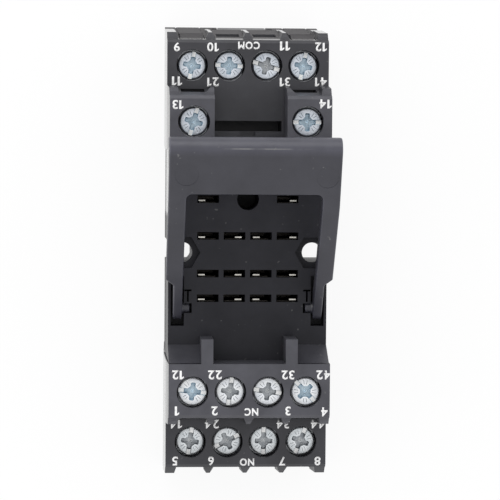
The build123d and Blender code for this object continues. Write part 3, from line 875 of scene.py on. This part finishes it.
printPlan = {
    "tall": 1.5, "wordTall": 1.28, "stroke": 0.024, "wordStroke": 0.036, "gap": 0.1,
    "figureWide": 1.06, "wordWide": 0.9, "film": 0.012, "curveSteps": 4,
    "stem": 0.16, "stemTop": 0.7, "flag": 0.16, "flagTip": (0.45, 0.57), "flagRoot": 0.55,
    "lowFace": 20.0, "highFace": 28.0,
    "low": [
        ("9", -11.84, 34.4), ("10", -5.88, 34.43), ("COM", 0.1, 34.73), ("11", 6.08, 34.7), ("12", 12.08, 34.59),
        ("11", -11.81, 28.77), ("21", -5.84, 28.65), ("31", 6.13, 28.74), ("41", 12.13, 28.79),
        ("14", -11.69, -28.35), ("24", -5.68, -28.36), ("34", 6.23, -28.39), ("44", 12.12, -28.4),
        ("5", -11.83, -34.56), ("6", -5.81, -34.59), ("NO", 0.23, -34.78), ("7", 6.11, -34.63),
        ("8", 12.09, -34.65),
    ],
    "high": [
        ("13", -11.93, 24.84), ("14", 12.1, 25.1),
        ("12", -11.71, -19.23), ("22", -5.66, -19.23), ("32", 6.32, -19.24), ("42", 12.16, -19.25),
        ("1", -11.84, -25.14), ("2", -5.7, -25.15), ("NC", 0.36, -25.33), ("3", 6.36, -25.18),
        ("4", 12.37, -25.35),
    ],
}


def flatPatch(corners):
    clearSelection()
    bpy.ops.mesh.primitive_plane_add(size=1)
    patch = bpy.context.object
    for point, (x, y) in zip(patch.data.vertices, corners):
        point.co = (x, y, 0)
    return patch


def joinPieces(pieces):
    clearSelection()
    for piece in pieces:
        piece.select_set(True)
    bpy.context.view_layer.objects.active = pieces[0]
    bpy.ops.object.join()
    return bpy.context.object


# One letter, standing on the X axis; the figure one gets a stem and a flag
def inkLetter(letter):
    if letter == "1":
        stem, top, flag = printPlan["stem"], printPlan["stemTop"], printPlan["flag"]
        tipLow, tipHigh = printPlan["flagTip"]
        return joinPieces([
            flatPatch([(0, 0), (stem, 0), (0, top), (stem, top)]),
            flatPatch([(-flag, tipLow), (0, printPlan["flagRoot"]), (-flag, tipHigh), (0, top)]),
        ])
    clearSelection()
    bpy.ops.object.text_add(location=(0, 0, 0))
    mark = bpy.context.object
    mark.data.body = letter
    mark.data.size = 1
    mark.data.offset = printPlan["wordStroke" if letter.isalpha() else "stroke"]
    mark.data.resolution_u = printPlan["curveSteps"]
    bpy.ops.object.convert(target="MESH")
    return bpy.context.object


def printedMark(words, x, y, z):
    wide = printPlan["wordWide" if words.isalpha() else "figureWide"]
    tall = printPlan["wordTall" if words.isalpha() else "tall"]
    letters = []
    along = 0
    for letter in words:
        piece = inkLetter(letter)
        left = min(point.co.x for point in piece.data.vertices)
        right = max(point.co.x for point in piece.data.vertices)
        piece.scale = (wide, 1, 1)
        settle(piece, (along - left * wide, 0, 0))
        along += (right - left) * wide + printPlan["gap"]
        letters.append(piece)
    mark = joinPieces(letters)
    onlySelect(mark)
    bpy.ops.object.origin_set(type="ORIGIN_GEOMETRY", center="BOUNDS")
    size = tall * mm / mark.dimensions.y
    mark.scale = (size, size, 1)
    settle(mark, (x * mm, y * mm, z * mm), (0, 0, math.pi))
    applyModifier(mark, "SOLIDIFY", thickness=printPlan["film"] * mm, offset=0)
    return mark


marks = [printedMark(words, x, y, printPlan["lowFace"]) for words, x, y in printPlan["low"]]
marks += [printedMark(words, x, y, printPlan["highFace"]) for words, x, y in printPlan["high"]]
printing = joinPieces(marks)
printing.name = "terminalPrinting"
settle(printing)
dress(printing, ["markingInk"])
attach(printing, "socket")
print("printing", len(printing.data.polygons), "faces")


# Camera, floor and light

view = {
    "place": (-25.995, 22.747, 401.729), "turn": (-3.3117, -3.9469, 0.3890),
    "lens": 165.66, "sensor": 36, "nearest": 10,
}
camera = bpy.data.objects.new("photoCamera", bpy.data.cameras.new("photoCamera"))
scene.collection.objects.link(camera)
camera.location = [c * mm for c in view["place"]]
camera.rotation_euler = [math.radians(a) for a in view["turn"]]
camera.data.lens = view["lens"]
camera.data.sensor_width = view["sensor"]
camera.data.clip_start = view["nearest"] * mm
scene.camera = camera

# Metres here; each lamp is its power, its size and its place
studio = {
    "floorSize": 4, "floorHeight": -0.0001, "floorTone": (0.9, 0.9, 0.9, 1), "floorRough": 0.8, "floorGlow": 0.88,
    "skyLight": 1.1, "sky": [(0.0, 0.87), (0.2, 1.0), (0.6, 1.0), (0.8, 0.84), (1.0, 0.8)],
    "lamps": {"keySoftbox": (1.7, 0.5, (-0.12, 0.62, 0.4)), "sideSoftbox": (0.5, 0.5, (-0.6, -0.1, 0.35))},
    "lampAim": (0, 0, 0.015),
}


def seenDirectly(tree):
    rays = addNode(tree, "ShaderNodeLightPath").outputs
    sharp = twoInto(tree, "MAXIMUM", rays["Is Camera Ray"], rays["Is Glossy Ray"])
    return twoInto(tree, "MAXIMUM", sharp, rays["Is Transmission Ray"])


# White paper that shines by itself where it is looked at, and takes light and shade otherwise
def floorMaterial():
    material, tree, shader = freshMaterial("paperFloor")
    shader.inputs["Base Color"].default_value = studio["floorTone"]
    shader.inputs["Roughness"].default_value = studio["floorRough"]
    glow = addNode(tree, "ShaderNodeEmission")
    share = addNode(tree, "ShaderNodeMath", operation="MULTIPLY")
    share.inputs[1].default_value = studio["floorGlow"]
    tree.links.new(seenDirectly(tree), share.inputs[0])
    mix = addNode(tree, "ShaderNodeMixShader")
    tree.links.new(share.outputs[0], mix.inputs[0])
    tree.links.new(shader.outputs[0], mix.inputs[1])
    tree.links.new(glow.outputs[0], mix.inputs[2])
    tree.links.new(mix.outputs[0], tree.nodes["Material Output"].inputs["Surface"])
    return material


clearSelection()
bpy.ops.mesh.primitive_plane_add(size=studio["floorSize"], location=(0, 0, studio["floorHeight"]))
floor = bpy.context.object
floor.name = "paperFloor"
bakePlace()
floor.data.materials.append(floorMaterial())

# Room light: brightest from the sides, dimmer overhead where the camera hangs
world = bpy.data.worlds.new("whiteRoom")
scene.world = world
world.use_nodes = True
roomTree = world.node_tree
direction = addNode(roomTree, "ShaderNodeTexCoord").outputs["Generated"]
upwards = placeAxes(roomTree, direction)["Z"]
soft = roomTree.nodes["Background"]
roomTree.links.new(ramp(roomTree, upwards, studio["sky"]), soft.inputs["Color"])
soft.inputs["Strength"].default_value = studio["skyLight"]


def softLight(name, power, size, place):
    lamp = bpy.data.objects.new(name, bpy.data.lights.new(name, "AREA"))
    scene.collection.objects.link(lamp)
    lamp.data.energy = power
    lamp.data.size = size
    lamp.location = place
    aim = [t - p for t, p in zip(studio["lampAim"], place)]
    flat = math.hypot(aim[0], aim[1])
    lamp.rotation_euler = (math.atan2(flat, -aim[2]), 0, math.atan2(aim[1], aim[0]) - math.pi / 2)


for name, (power, size, place) in studio["lamps"].items():
    softLight(name, power, size, place)
scene.view_settings.view_transform = "Standard"
print("studio ready")
